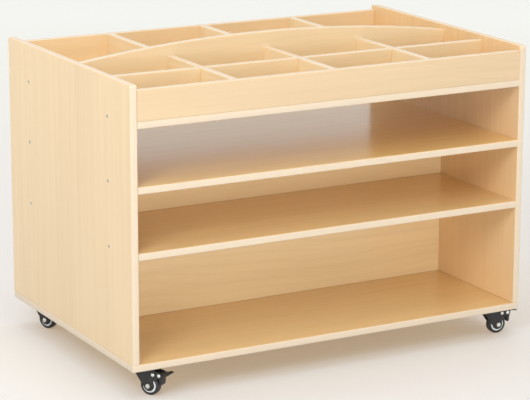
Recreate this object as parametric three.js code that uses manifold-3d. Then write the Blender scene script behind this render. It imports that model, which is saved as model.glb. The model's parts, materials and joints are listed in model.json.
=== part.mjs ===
// Mobile two-sided classroom storage unit: a divided tray on top, open shelves on both
// long sides and four braked swivel casters. Millimetres, +X right, +Y to the back, +Z up.
// The origin lies on the floor under the middle of the cabinet.
import * as THREE from "three";
import { mergeVertices } from "three/addons/utils/BufferGeometryUtils.js";
import Module from "manifold-3d";

const wasm = await Module();
wasm.setup();

// Cabinet sizes
const UNIT_WIDTH = 1120;
const UNIT_DEPTH = 728;
const SIDE_PANEL_HEIGHT = 684;
const SIDE_PANEL_THICKNESS = 18;
const SIDE_CORNER_RADIUS = 9;
const BASE_THICKNESS = 18;
const BASE_CORNER_RADIUS = 5;
const SHELF_THICKNESS = 18;
const TRAY_FLOOR_THICKNESS = 18;
const CENTRE_PANEL_THICKNESS = 18;
const EDGE_ROUND = 2;
const EDGE_STEPS = 2;
const CORNER_STEPS = 5;

// Top faces of the horizontal boards, above the top of the base board
const LOWER_SHELF_TOP = 276;
const UPPER_SHELF_TOP = 438;
const TRAY_FLOOR_TOP = 596;

// Divided tray
const RAIL_HEIGHT = 75;
const RAIL_THICKNESS = 18;
const DIVIDER_THICKNESS = 18;
const ARCH_THICKNESS = 18;
const ARCH_RISE = 39;
const ARCH_STEPS = 20;
const TRAY_COLUMNS = 4;
const LAP_CLEARANCE = 0.3;

// Hairline left in every butt joint between boards
const JOINT_GAP = 0.2;

// Connector screws through the side panels into the shelf ends
const SCREW_EDGE_DISTANCE = 128;
const SCREW_LENGTH = 50;
const SCREW_HEAD_RADIUS = 4.8;
const SCREW_HEAD_DEPTH = 3;
const SCREW_SHANK_RADIUS = 3;
const SCREW_TIP_LENGTH = 3;
const SCREW_SOCKET_RADIUS = 2.4;
const SCREW_SOCKET_DEPTH = 2.5;
const SCREW_SINK = 0.4;
const SCREW_CLEARANCE = 0.25;
const SCREW_FACETS = 8;

// Casters: the trailing direction is the caster's own +X, the axle lies along its Y
const CASTER_HEIGHT = 75;
const CASTER_INSET_X = 54;
const CASTER_INSET_Y = 57;
const PLATE_LENGTH = 62;
const PLATE_WIDTH = 50;
const PLATE_THICKNESS = 2.5;
const PLATE_CORNER_RADIUS = 6;
const PLATE_HOLE_RADIUS = 2.8;
const PLATE_HOLE_EDGE = 7;
const PLATE_STEPS = 4;
const RACE_RADIUS = 20;
const RACE_DEPTH = 5.5;
const KINGPIN_RADIUS = 5;
const KINGPIN_HEAD_RADIUS = 8.5;
const KINGPIN_HEAD_HEIGHT = 3;
const SWIVEL_GAP = 0.4;
const PIN_CLEARANCE = 0.25;

const WHEEL_DIAMETER = 50;
const WHEEL_TRAIL = 22;
const TYRE_WIDTH = 19;
const TYRE_SHOULDER = 4;
const TYRE_ROUNDING = 0.3;
const HUB_RADIUS = 18;
const HUB_WIDTH = 18;
const HUB_RING_WIDTH = 3.2;
const HUB_RING_HEIGHT = 1.5;
const WHEEL_FACETS = 24;
const RACE_FACETS = 16;
const PIN_FACETS = 12;
const RIVET_FACETS = 8;

const CROWN_RADIUS = 21;
const CROWN_THICKNESS = 5;
const LEG_THICKNESS = 2.5;
const WHEEL_SIDE_GAP = 1.2;
const LEG_SETBACK = 1;
const LEG_FOOT_RADIUS = 13;
const LEG_WAIST = 10.5;
const LEG_STEPS = 6;
const AXLE_RADIUS = 4;
const AXLE_HEAD_RADIUS = 6.2;
const AXLE_HEAD_HEIGHT = 4.5;
const AXLE_TIP = 1;

// Brake: its two rivets lie on one level behind and above the axle
const BRAKE_RIVET_RISE = 29.5;
const STOP_RIVET_OFFSET = 12;
const PIVOT_RIVET_OFFSET = 29;
const RIVET_RADIUS = 3;
const RIVET_HEAD_RADIUS = 4.6;
const RIVET_HEAD_HEIGHT = 1.6;
const HORN_RADIUS = 8;
const HORN_DEPTH = 11;
const PEDAL_REACH = 77;
const PEDAL_WIDTH = 35;
const PEDAL_SHEET = 2.5;
const PEDAL_EAR_RADIUS = 6;
const PEDAL_LIP = 5;
const PEDAL_LIP_DROP = 2.5;
const PEDAL_TIP_RISE = 2;
const PEDAL_SIDE_GAP = 0.8;
const SHOE_DROP = 27;
const SHOE_LIP = 5.25;
const SHOE_BEND = 2.5;
const SHOE_PAD = 8;
const SHOE_TYRE_GAP = 5;

// How far each caster has swivelled, in degrees from trailing towards +X
const CASTERS = [
  { name: "front_left", side: -1, face: -1, swivel: -56 },
  { name: "front_right", side: 1, face: -1, swivel: -4 },
  { name: "back_left", side: -1, face: 1, swivel: -62 },
  { name: "back_right", side: 1, face: 1, swivel: -20 },
];

// Worked-out levels and half sizes
const HALF_WIDTH = UNIT_WIDTH / 2;
const HALF_DEPTH = UNIT_DEPTH / 2;
const BASE_TOP = CASTER_HEIGHT + BASE_THICKNESS;
const INNER_HALF_WIDTH = HALF_WIDTH - SIDE_PANEL_THICKNESS;
const BOARD_LENGTH = 2 * (INNER_HALF_WIDTH - JOINT_GAP);
const TRAY_LEVEL = BASE_TOP + TRAY_FLOOR_TOP + JOINT_GAP;
const RAIL_INNER_FACE = HALF_DEPTH - RAIL_THICKNESS;
const ARCH_HALF = ARCH_THICKNESS / 2;
const CROSS_LENGTH = RAIL_INNER_FACE - ARCH_HALF - 2 * JOINT_GAP;
const CROSS_CENTRE = (RAIL_INNER_FACE + ARCH_HALF) / 2;

const X_AXIS = new THREE.Vector3(1, 0, 0);
const Y_AXIS = new THREE.Vector3(0, 1, 0);
const Z_AXIS = new THREE.Vector3(0, 0, 1);
const BACKWARDS = new THREE.Vector3(0, -1, 0);

// Finishes
const boardFinish = new THREE.MeshStandardMaterial({ color: 0xe8c795, roughness: 0.45, metalness: 0 });
const screwFinish = new THREE.MeshStandardMaterial({ color: 0x5c5148, roughness: 0.4, metalness: 0.8 });
const blackSteel = new THREE.MeshStandardMaterial({ color: 0x22211f, roughness: 0.45, metalness: 0.3 });
const brightSteel = new THREE.MeshStandardMaterial({ color: 0xc9c9c6, roughness: 0.3, metalness: 1 });
const blackTyre = new THREE.MeshStandardMaterial({ color: 0x1b1a19, roughness: 0.7, metalness: 0 });
const paleHub = new THREE.MeshStandardMaterial({ color: 0xd8d8d4, roughness: 0.4, metalness: 0 });

// Solids and booleans

function toSolid(geometry) {
  const bare = new THREE.BufferGeometry();
  const source = geometry.index ? geometry.toNonIndexed() : geometry;
  bare.setAttribute("position", source.getAttribute("position"));
  const merged = mergeVertices(bare, 1e-3);
  const mesh = new wasm.Mesh({
    numProp: 3,
    vertProperties: merged.getAttribute("position").array,
    triVerts: new Uint32Array(merged.index.array),
  });
  return new wasm.Manifold(mesh);
}

function toGeometry(solid) {
  const mesh = solid.getMesh();
  const geometry = new THREE.BufferGeometry();
  geometry.setAttribute("position", new THREE.BufferAttribute(mesh.vertProperties, 3));
  geometry.setIndex(new THREE.BufferAttribute(mesh.triVerts, 1));
  geometry.computeVertexNormals();
  return geometry;
}

function joined(...geometries) {
  return toGeometry(geometries.map(toSolid).reduce((whole, piece) => whole.add(piece)));
}

function cut(geometry, ...cutters) {
  const pieces = cutters.map(toSolid);
  return toGeometry(pieces.reduce((whole, cutter) => whole.subtract(cutter), toSolid(geometry)));
}

function common(geometry, other) {
  return toGeometry(toSolid(geometry).intersect(toSolid(other)));
}

function block(low, high) {
  const size = high.map((value, axis) => value - low[axis]);
  const middle = high.map((value, axis) => (value + low[axis]) / 2);
  return new THREE.BoxGeometry(...size).translate(...middle);
}

// Turns a geometry so that its own X, Y and Z run along the three given directions.
function laid(geometry, alongX, alongY, alongZ) {
  return geometry.applyMatrix4(new THREE.Matrix4().makeBasis(alongX, alongY, alongZ));
}

// A lathe profile of [radius, height] pairs turned about Z, its flats lying on the true radius.
function turned(profile, facets) {
  const spread = 1 / Math.cos(Math.PI / facets);
  const points = profile.map(([radius, height]) => new THREE.Vector2(radius * spread, height));
  return new THREE.LatheGeometry(points, facets, Math.PI / facets).rotateX(Math.PI / 2);
}

// A turned profile whose axis lies along Y.
function turnedAlongY(profile, facets) {
  return turned(profile, facets).rotateX(-Math.PI / 2);
}

function polygon(points) {
  return new THREE.Shape(points.map(([x, y]) => new THREE.Vector2(x, y)));
}

// A rectangle whose lower two and upper two corners are rounded; a radius of 0 leaves them square.
function roundedRectangle(x0, y0, x1, y1, lowerRadius, upperRadius) {
  const corners = [
    { x: x1 - lowerRadius, y: y0 + lowerRadius, radius: lowerRadius, start: -Math.PI / 2 },
    { x: x1 - upperRadius, y: y1 - upperRadius, radius: upperRadius, start: 0 },
    { x: x0 + upperRadius, y: y1 - upperRadius, radius: upperRadius, start: Math.PI / 2 },
    { x: x0 + lowerRadius, y: y0 + lowerRadius, radius: lowerRadius, start: Math.PI },
  ];
  const outline = new THREE.Shape();
  outline.moveTo(x0 + lowerRadius, y0);
  for (const { x, y, radius, start } of corners) {
    if (radius > 0) outline.absarc(x, y, radius, start, start + Math.PI / 2);
    else outline.lineTo(x, y);
  }
  return outline;
}

// An outline given thickness along Z, with its edges eased by a small round.
function easedPlate(outline, thickness, curveSegments) {
  return new THREE.ExtrudeGeometry(outline, {
    depth: thickness - 2 * EDGE_ROUND,
    bevelEnabled: true,
    bevelThickness: EDGE_ROUND,
    bevelSize: EDGE_ROUND,
    bevelOffset: -EDGE_ROUND,
    bevelSegments: 1,
    curveSegments,
  }).translate(0, 0, EDGE_ROUND);
}

function flatPlate(outline, thickness, curveSegments) {
  return new THREE.ExtrudeGeometry(outline, { depth: thickness, bevelEnabled: false, curveSegments });
}

const unit = new THREE.Group();

function addPiece(parent, name, geometry, material) {
  const piece = new THREE.Mesh(geometry, material);
  piece.name = name;
  parent.add(piece);
  return piece;
}

// Boards

// A level board that runs between the side panels, with its front and back edges eased.
function levelBoard(top, thickness) {
  const section = roundedRectangle(-HALF_DEPTH, top - thickness, HALF_DEPTH, top, EDGE_ROUND, EDGE_ROUND);
  const board = flatPlate(section, BOARD_LENGTH, EDGE_STEPS).translate(0, 0, -BOARD_LENGTH / 2);
  return laid(board, Y_AXIS, Z_AXIS, X_AXIS);
}

// An upright board along X that stands on the given level, with its top edges eased.
function lengthwiseBoard(y, thickness, bottom, height) {
  const half = thickness / 2;
  const section = roundedRectangle(y - half, bottom, y + half, bottom + height, 0, EDGE_ROUND);
  const board = flatPlate(section, BOARD_LENGTH, EDGE_STEPS).translate(0, 0, -BOARD_LENGTH / 2);
  return laid(board, Y_AXIS, Z_AXIS, X_AXIS);
}

// An upright board along Y between a rail and the arched divider.
function crosswiseBoard(x, y) {
  const half = DIVIDER_THICKNESS / 2;
  const section = roundedRectangle(x - half, TRAY_LEVEL, x + half, TRAY_LEVEL + RAIL_HEIGHT, 0, EDGE_ROUND);
  const board = flatPlate(section, CROSS_LENGTH, EDGE_STEPS).translate(0, 0, -y - CROSS_LENGTH / 2);
  return laid(board, X_AXIS, Z_AXIS, BACKWARDS);
}

// The arched divider: straight bottom, top edge a circular arc through both ends and the crown.
function archedBoard() {
  const halfSpan = BOARD_LENGTH / 2;
  const radius = (halfSpan * halfSpan + ARCH_RISE * ARCH_RISE) / (2 * ARCH_RISE);
  const centreHeight = TRAY_LEVEL + RAIL_HEIGHT + ARCH_RISE - radius;
  const spare = 4 * EDGE_ROUND;
  const reach = halfSpan + spare;
  const endAngle = Math.acos(reach / radius);
  const outline = new THREE.Shape();
  outline.moveTo(-reach, TRAY_LEVEL - spare);
  outline.lineTo(reach, TRAY_LEVEL - spare);
  outline.absarc(0, centreHeight, radius, endAngle, Math.PI - endAngle);
  const plate = laid(easedPlate(outline, ARCH_THICKNESS, ARCH_STEPS), X_AXIS, Z_AXIS, BACKWARDS);
  plate.translate(0, ARCH_HALF, 0);
  const room = block(
    [-halfSpan, -ARCH_THICKNESS, TRAY_LEVEL],
    [halfSpan, ARCH_THICKNESS, TRAY_LEVEL + RAIL_HEIGHT + ARCH_RISE + spare],
  );
  return common(plate, room);
}

// Connector screw along X from the panel's outer face inwards, its head just below the face.
function screwProfile(clearance, headTop) {
  const head = SCREW_HEAD_RADIUS + clearance;
  const shank = SCREW_SHANK_RADIUS + clearance;
  const tipEnd = SCREW_LENGTH + clearance;
  return [
    [0, -tipEnd],
    [shank / 2, -tipEnd],
    [shank, -tipEnd + SCREW_TIP_LENGTH],
    [shank, -SCREW_HEAD_DEPTH - (head - shank)],
    [head, -SCREW_HEAD_DEPTH],
    [head, headTop],
    [0, headTop],
  ];
}

function screwPlaces() {
  const levels = [
    { board: "tray_floor", z: BASE_TOP + TRAY_FLOOR_TOP - TRAY_FLOOR_THICKNESS / 2 },
    { board: "upper_shelf", z: BASE_TOP + UPPER_SHELF_TOP - SHELF_THICKNESS / 2 },
    { board: "lower_shelf", z: BASE_TOP + LOWER_SHELF_TOP - SHELF_THICKNESS / 2 },
  ];
  const rows = [
    { row: "front", y: SCREW_EDGE_DISTANCE - HALF_DEPTH },
    { row: "back", y: HALF_DEPTH - SCREW_EDGE_DISTANCE },
  ];
  const sides = [
    { side: "left", sign: -1 },
    { side: "right", sign: 1 },
  ];
  return sides.flatMap((s) => rows.flatMap((r) => levels.map((l) => ({ ...s, ...r, ...l }))));
}

// Places a shape turned about Z so that its +Z end looks out of the given side panel.
function atScrew(geometry, place) {
  geometry.rotateY((place.sign * Math.PI) / 2);
  return geometry.translate(place.sign * HALF_WIDTH, place.y, place.z);
}

const places = screwPlaces();

function screwHoles(wanted) {
  return places.filter(wanted).map((place) => {
    return atScrew(turned(screwProfile(SCREW_CLEARANCE, SCREW_HEAD_DEPTH), SCREW_FACETS), place);
  });
}

// A side panel stands on the base board; its bottom edge is square, its other edges eased.
function sidePanel(side, sign) {
  const bottom = BASE_TOP + JOINT_GAP;
  const spare = 4 * EDGE_ROUND;
  const top = BASE_TOP + SIDE_PANEL_HEIGHT;
  const outline = roundedRectangle(-HALF_DEPTH, bottom - spare, HALF_DEPTH, top, 0, SIDE_CORNER_RADIUS);
  const plate = laid(easedPlate(outline, SIDE_PANEL_THICKNESS, CORNER_STEPS), Y_AXIS, Z_AXIS, X_AXIS);
  plate.translate(sign > 0 ? INNER_HALF_WIDTH : -HALF_WIDTH, 0, 0);
  const below = block([-UNIT_WIDTH, -UNIT_DEPTH, bottom - 2 * spare], [UNIT_WIDTH, UNIT_DEPTH, bottom]);
  return cut(plate, below, ...screwHoles((place) => place.side === side));
}

function shelf(name, top, thickness) {
  return cut(levelBoard(top, thickness), ...screwHoles((place) => place.board === name));
}

function baseBoard() {
  const radius = BASE_CORNER_RADIUS;
  const outline = roundedRectangle(-HALF_WIDTH, -HALF_DEPTH, HALF_WIDTH, HALF_DEPTH, radius, radius);
  return easedPlate(outline, BASE_THICKNESS, CORNER_STEPS).translate(0, 0, CASTER_HEIGHT);
}

function centrePanel(floorTop, ceiling) {
  const low = [-BOARD_LENGTH / 2, -CENTRE_PANEL_THICKNESS / 2, BASE_TOP + floorTop + JOINT_GAP];
  const high = [BOARD_LENGTH / 2, CENTRE_PANEL_THICKNESS / 2, BASE_TOP + ceiling - JOINT_GAP];
  return block(low, high);
}

// Middles of the cross dividers: the columns between them are equally wide.
function columnLines() {
  const column = (2 * INNER_HALF_WIDTH - (TRAY_COLUMNS - 1) * DIVIDER_THICKNESS) / TRAY_COLUMNS;
  const pitch = column + DIVIDER_THICKNESS;
  return Array.from({ length: TRAY_COLUMNS - 1 }, (_, i) => (i + 1 - TRAY_COLUMNS / 2) * pitch);
}

// The long divider has a slot from above at each crossing, the cross divider one from below.
function lapSlot(x, y, alongX, bottom, top) {
  const half = DIVIDER_THICKNESS / 2 + LAP_CLEARANCE;
  const through = DIVIDER_THICKNESS;
  const reach = alongX ? [half, through] : [through, half];
  return block([x - reach[0], y - reach[1], bottom], [x + reach[0], y + reach[1], top]);
}

function addBoards() {
  const add = (name, geometry) => addPiece(unit, name, geometry, boardFinish);
  add("base_board", baseBoard());
  add("left_side_panel", sidePanel("left", -1));
  add("right_side_panel", sidePanel("right", 1));
  add("lower_shelf", shelf("lower_shelf", BASE_TOP + LOWER_SHELF_TOP, SHELF_THICKNESS));
  add("upper_shelf", shelf("upper_shelf", BASE_TOP + UPPER_SHELF_TOP, SHELF_THICKNESS));
  add("tray_floor", shelf("tray_floor", BASE_TOP + TRAY_FLOOR_TOP, TRAY_FLOOR_THICKNESS));
  add("lower_centre_panel", centrePanel(0, LOWER_SHELF_TOP - SHELF_THICKNESS));
  add("upper_centre_panel", centrePanel(LOWER_SHELF_TOP, UPPER_SHELF_TOP - SHELF_THICKNESS));

  const railMiddle = HALF_DEPTH - RAIL_THICKNESS / 2;
  add("front_rail", lengthwiseBoard(-railMiddle, RAIL_THICKNESS, TRAY_LEVEL, RAIL_HEIGHT));
  add("back_rail", lengthwiseBoard(railMiddle, RAIL_THICKNESS, TRAY_LEVEL, RAIL_HEIGHT));
  add("arched_divider", archedBoard());

  const lines = columnLines();
  const lapMiddle = TRAY_LEVEL + RAIL_HEIGHT / 2;
  const above = TRAY_LEVEL + 2 * RAIL_HEIGHT;
  const longSlots = lines.map((x) => lapSlot(x, -CROSS_CENTRE, true, lapMiddle - LAP_CLEARANCE / 2, above));
  const longBoard = lengthwiseBoard(-CROSS_CENTRE, DIVIDER_THICKNESS, TRAY_LEVEL, RAIL_HEIGHT);
  add("long_divider", cut(longBoard, ...longSlots));
  lines.forEach((x, i) => {
    const slot = lapSlot(x, -CROSS_CENTRE, false, TRAY_LEVEL - RAIL_HEIGHT, lapMiddle + LAP_CLEARANCE / 2);
    add(`front_cross_divider_${i + 1}`, cut(crosswiseBoard(x, -CROSS_CENTRE), slot));
    add(`rear_cross_divider_${i + 1}`, crosswiseBoard(x, CROSS_CENTRE));
  });
}

function addScrews() {
  const socketTop = SCREW_HEAD_DEPTH;
  for (const place of places) {
    const socket = new THREE.CylinderGeometry(SCREW_SOCKET_RADIUS, SCREW_SOCKET_RADIUS, 2 * socketTop, 6);
    socket.rotateX(Math.PI / 2).translate(0, 0, socketTop - SCREW_SINK - SCREW_SOCKET_DEPTH);
    const screw = cut(turned(screwProfile(0, -SCREW_SINK), SCREW_FACETS), socket);
    addPiece(unit, `${place.side}_${place.board}_screw_${place.row}`, atScrew(screw, place), screwFinish);
  }
}

// Casters

const AXLE_HEIGHT = WHEEL_DIAMETER / 2;
const LEG_INNER = Math.max(TYRE_WIDTH, HUB_WIDTH) / 2 + WHEEL_SIDE_GAP;
const LEG_OUTER = LEG_INNER + LEG_THICKNESS;
const PLATE_BOTTOM = CASTER_HEIGHT - JOINT_GAP - PLATE_THICKNESS;
const RACE_BOTTOM = PLATE_BOTTOM - RACE_DEPTH;
const CROWN_TOP = RACE_BOTTOM - SWIVEL_GAP;
const CROWN_BOTTOM = CROWN_TOP - CROWN_THICKNESS;
const RIVET_LEVEL = AXLE_HEIGHT + BRAKE_RIVET_RISE;
const STOP_RIVET_X = WHEEL_TRAIL + STOP_RIVET_OFFSET;
const PIVOT_X = WHEEL_TRAIL + PIVOT_RIVET_OFFSET;

function casterPlate() {
  const halfLength = PLATE_LENGTH / 2;
  const halfWidth = PLATE_WIDTH / 2;
  const corner = PLATE_CORNER_RADIUS;
  const outline = roundedRectangle(-halfLength, -halfWidth, halfLength, halfWidth, corner, corner);
  for (const x of [PLATE_HOLE_EDGE - halfLength, halfLength - PLATE_HOLE_EDGE]) {
    for (const y of [PLATE_HOLE_EDGE - halfWidth, halfWidth - PLATE_HOLE_EDGE]) {
      outline.holes.push(new THREE.Path().absarc(x, y, PLATE_HOLE_RADIUS, 0, 2 * Math.PI, true));
    }
  }
  const plate = flatPlate(outline, PLATE_THICKNESS, PLATE_STEPS).translate(0, 0, PLATE_BOTTOM);
  const slope = RACE_DEPTH / 2;
  const race = turned(
    [
      [0, RACE_BOTTOM],
      [RACE_RADIUS - slope, RACE_BOTTOM],
      [RACE_RADIUS, RACE_BOTTOM + slope],
      [RACE_RADIUS, PLATE_BOTTOM + PLATE_THICKNESS / 2],
      [0, PLATE_BOTTOM + PLATE_THICKNESS / 2],
    ],
    RACE_FACETS,
  );
  const bore = turned(pinProfile(KINGPIN_RADIUS + PIN_CLEARANCE, 0, 2 * CASTER_HEIGHT), PIN_FACETS);
  return cut(joined(plate, race), bore);
}

function pinProfile(radius, bottom, top) {
  return [
    [0, bottom],
    [radius, bottom],
    [radius, top],
    [0, top],
  ];
}

function kingpin() {
  const headTop = CROWN_BOTTOM - SWIVEL_GAP;
  const headBottom = headTop - KINGPIN_HEAD_HEIGHT;
  const dome = KINGPIN_HEAD_HEIGHT / 2;
  return turned(
    [
      [0, headBottom],
      [KINGPIN_HEAD_RADIUS - dome, headBottom],
      [KINGPIN_HEAD_RADIUS, headBottom + dome],
      [KINGPIN_HEAD_RADIUS, headTop],
      [KINGPIN_RADIUS, headTop],
      [KINGPIN_RADIUS, PLATE_BOTTOM + PLATE_THICKNESS],
      [0, PLATE_BOTTOM + PLATE_THICKNESS],
    ],
    PIN_FACETS,
  );
}

// One leg of the fork, seen from the side: a slanted leading edge that runs into a round foot
// at the axle, and a horn behind that carries the brake rivets.
function legOutline() {
  const leading = -CROWN_RADIUS + LEG_SETBACK;
  const toTop = Math.atan2(CROWN_BOTTOM - AXLE_HEIGHT, leading - WHEEL_TRAIL);
  const distance = Math.hypot(CROWN_BOTTOM - AXLE_HEIGHT, leading - WHEEL_TRAIL);
  const tangent = toTop + Math.acos(LEG_FOOT_RADIUS / distance);
  const outline = new THREE.Shape();
  outline.moveTo(leading, CROWN_TOP);
  outline.lineTo(leading, CROWN_BOTTOM);
  outline.absarc(WHEEL_TRAIL, AXLE_HEIGHT, LEG_FOOT_RADIUS, tangent, 2 * Math.PI);
  outline.lineTo(WHEEL_TRAIL + LEG_WAIST, RIVET_LEVEL - HORN_DEPTH);
  outline.absarc(PIVOT_X, RIVET_LEVEL, HORN_RADIUS, -Math.PI / 2, Math.PI / 2);
  outline.lineTo(STOP_RIVET_X, CROWN_TOP);
  return outline;
}

// A rivet across the fork with a domed head outside each leg.
function brakeRivet(x) {
  const neck = LEG_OUTER;
  const top = LEG_OUTER + RIVET_HEAD_HEIGHT;
  const crown = RIVET_HEAD_RADIUS - RIVET_HEAD_HEIGHT;
  const profile = [
    [0, -top],
    [crown, -top],
    [RIVET_HEAD_RADIUS, -neck],
    [RIVET_RADIUS, -neck],
    [RIVET_RADIUS, neck],
    [RIVET_HEAD_RADIUS, neck],
    [crown, top],
    [0, top],
  ];
  return turnedAlongY(profile, RIVET_FACETS).translate(x, 0, RIVET_LEVEL);
}

function fork() {
  const legs = [-LEG_OUTER, LEG_INNER].map((y) => {
    const leg = laid(flatPlate(legOutline(), LEG_THICKNESS, LEG_STEPS), X_AXIS, Z_AXIS, BACKWARDS);
    return leg.translate(0, y + LEG_THICKNESS, 0);
  });
  const crown = turned(pinProfile(CROWN_RADIUS, CROWN_BOTTOM, CROWN_TOP), RACE_FACETS);
  const roofEnd = STOP_RIVET_X - RIVET_HEAD_RADIUS;
  const roof = block([0, -LEG_OUTER, CROWN_TOP - LEG_THICKNESS], [roofEnd, LEG_OUTER, CROWN_TOP]);
  const bore = turned(pinProfile(KINGPIN_RADIUS + PIN_CLEARANCE, 0, CASTER_HEIGHT), PIN_FACETS);
  const holeProfile = pinProfile(AXLE_RADIUS + PIN_CLEARANCE, -2 * LEG_OUTER, 2 * LEG_OUTER);
  const axleHole = turnedAlongY(holeProfile, PIN_FACETS).translate(WHEEL_TRAIL, 0, AXLE_HEIGHT);
  const shell = cut(joined(crown, roof, ...legs), bore, axleHole);
  return joined(shell, brakeRivet(STOP_RIVET_X), brakeRivet(PIVOT_X));
}

function axleBolt() {
  const seat = LEG_OUTER + PIN_CLEARANCE;
  const hexagon = (y) => {
    const nut = new THREE.CylinderGeometry(AXLE_HEAD_RADIUS, AXLE_HEAD_RADIUS, AXLE_HEAD_HEIGHT, 6);
    return nut.translate(0, y, 0);
  };
  const end = seat + AXLE_HEAD_HEIGHT + AXLE_TIP;
  const shaft = turnedAlongY(pinProfile(AXLE_RADIUS, -end, end), PIN_FACETS);
  const middle = seat + AXLE_HEAD_HEIGHT / 2;
  return joined(shaft, hexagon(-middle), hexagon(middle)).translate(WHEEL_TRAIL, 0, AXLE_HEIGHT);
}

function tyre() {
  const radius = WHEEL_DIAMETER / 2;
  const bore = HUB_RADIUS + PIN_CLEARANCE;
  const half = TYRE_WIDTH / 2;
  const ease = TYRE_SHOULDER * TYRE_ROUNDING;
  const profile = [
    [bore, -half],
    [radius - TYRE_SHOULDER, -half],
    [radius - ease, -half + ease],
    [radius, -half + TYRE_SHOULDER],
    [radius, half - TYRE_SHOULDER],
    [radius - ease, half - ease],
    [radius - TYRE_SHOULDER, half],
    [bore, half],
    [bore, -half],
  ];
  return turnedAlongY(profile, WHEEL_FACETS).translate(WHEEL_TRAIL, 0, AXLE_HEIGHT);
}

// The hub is a disc on the axle with a raised ring next to the tyre on both faces.
function wheelHub() {
  const bore = AXLE_RADIUS + PIN_CLEARANCE;
  const half = HUB_WIDTH / 2;
  const ringInner = HUB_RADIUS - HUB_RING_WIDTH;
  const face = half - HUB_RING_HEIGHT;
  const profile = [
    [bore, -face],
    [ringInner, -face],
    [ringInner, -half],
    [HUB_RADIUS, -half],
    [HUB_RADIUS, half],
    [ringInner, half],
    [ringInner, face],
    [bore, face],
    [bore, -face],
  ];
  return turnedAlongY(profile, WHEEL_FACETS).translate(WHEEL_TRAIL, 0, AXLE_HEIGHT);
}

// The pedal is a bent sheet: a foot plate with a turned-down lip behind the fork, two ears on the
// pivot rivet and a shoe with its pad that hangs behind the tyre. Outlines are drawn from the
// side and given a width along Y.
function acrossY(outline, width) {
  const plate = laid(flatPlate(outline, width, LEG_STEPS), X_AXIS, Z_AXIS, BACKWARDS);
  return plate.translate(0, width / 2, 0);
}

function pedalEar(hornEnd, plateTop) {
  const outline = new THREE.Shape();
  outline.moveTo(hornEnd, RIVET_LEVEL);
  outline.lineTo(hornEnd, plateTop);
  outline.lineTo(PIVOT_X, plateTop);
  outline.absarc(PIVOT_X, RIVET_LEVEL, plateTop - RIVET_LEVEL, Math.PI / 2, 1.5 * Math.PI);
  return acrossY(outline, PEDAL_SHEET);
}

function brakePedal() {
  const inner = LEG_INNER - PEDAL_SIDE_GAP;
  const shoeX = WHEEL_TRAIL + WHEEL_DIAMETER / 2 + SHOE_TYRE_GAP;
  const shoeTip = RIVET_LEVEL - SHOE_DROP;
  const hornEnd = PIVOT_X + HORN_RADIUS + PEDAL_SIDE_GAP;
  const plateTop = RIVET_LEVEL + PEDAL_EAR_RADIUS;
  const plateBottom = plateTop - PEDAL_SHEET;
  const lip = PEDAL_REACH - PEDAL_LIP;
  const lipBottom = plateBottom + PEDAL_TIP_RISE - PEDAL_LIP_DROP;
  const footPlate = polygon([
    [hornEnd, plateBottom],
    [lip, plateBottom + PEDAL_TIP_RISE],
    [PEDAL_REACH - PEDAL_SHEET, lipBottom],
    [PEDAL_REACH, lipBottom],
    [lip + PEDAL_SHEET / 2, plateTop + PEDAL_TIP_RISE],
    [hornEnd, plateTop],
  ]);
  const bridge = polygon([
    [PIVOT_X, plateBottom],
    [hornEnd + PEDAL_SHEET, plateBottom],
    [hornEnd + PEDAL_SHEET, plateTop],
    [PIVOT_X, plateTop],
  ]);
  const shoe = polygon([
    [hornEnd - PEDAL_SHEET, plateTop],
    [hornEnd - PEDAL_SHEET, RIVET_LEVEL - HORN_RADIUS],
    [hornEnd - PEDAL_SHEET - SHOE_PAD, RIVET_LEVEL - HORN_RADIUS],
    [shoeX, shoeTip + PEDAL_SHEET],
    [shoeX + PEDAL_SHEET / 2, shoeTip],
    [shoeX + SHOE_BEND + PEDAL_SHEET, shoeTip + SHOE_LIP - PEDAL_SHEET / 2],
    [hornEnd, RIVET_LEVEL],
    [hornEnd, plateTop],
  ]);
  const earMiddle = inner - PEDAL_SHEET / 2;
  const sheet = joined(
    acrossY(footPlate, PEDAL_WIDTH),
    acrossY(bridge, 2 * inner),
    acrossY(shoe, 2 * inner),
    pedalEar(hornEnd, plateTop).translate(0, -earMiddle, 0),
    pedalEar(hornEnd, plateTop).translate(0, earMiddle, 0),
  );
  const holeProfile = pinProfile(RIVET_RADIUS + PIN_CLEARANCE, -PEDAL_WIDTH, PEDAL_WIDTH);
  return cut(sheet, turnedAlongY(holeProfile, RIVET_FACETS).translate(PIVOT_X, 0, RIVET_LEVEL));
}

function addCaster({ name, side, face, swivel }) {
  const fixed = new THREE.Group();
  fixed.position.set(side * (HALF_WIDTH - CASTER_INSET_X), face * (HALF_DEPTH - CASTER_INSET_Y), 0);
  unit.add(fixed);
  addPiece(fixed, `${name}_caster_plate`, casterPlate(), blackSteel);
  addPiece(fixed, `${name}_kingpin`, kingpin(), brightSteel);

  const swivelling = new THREE.Group();
  swivelling.rotation.z = THREE.MathUtils.degToRad(swivel);
  fixed.add(swivelling);
  addPiece(swivelling, `${name}_fork`, fork(), blackSteel);
  addPiece(swivelling, `${name}_axle_bolt`, axleBolt(), brightSteel);
  addPiece(swivelling, `${name}_tyre`, tyre(), blackTyre);
  addPiece(swivelling, `${name}_wheel_hub`, wheelHub(), paleHub);
  addPiece(swivelling, `${name}_brake_pedal`, brakePedal(), blackSteel);
}

addBoards();
addScrews();
CASTERS.forEach(addCaster);

export default unit;
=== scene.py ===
import json
import math

import bmesh
import bpy
import numpy as np
from mathutils import Matrix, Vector
from mathutils.geometry import delaunay_2d_cdt


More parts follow.
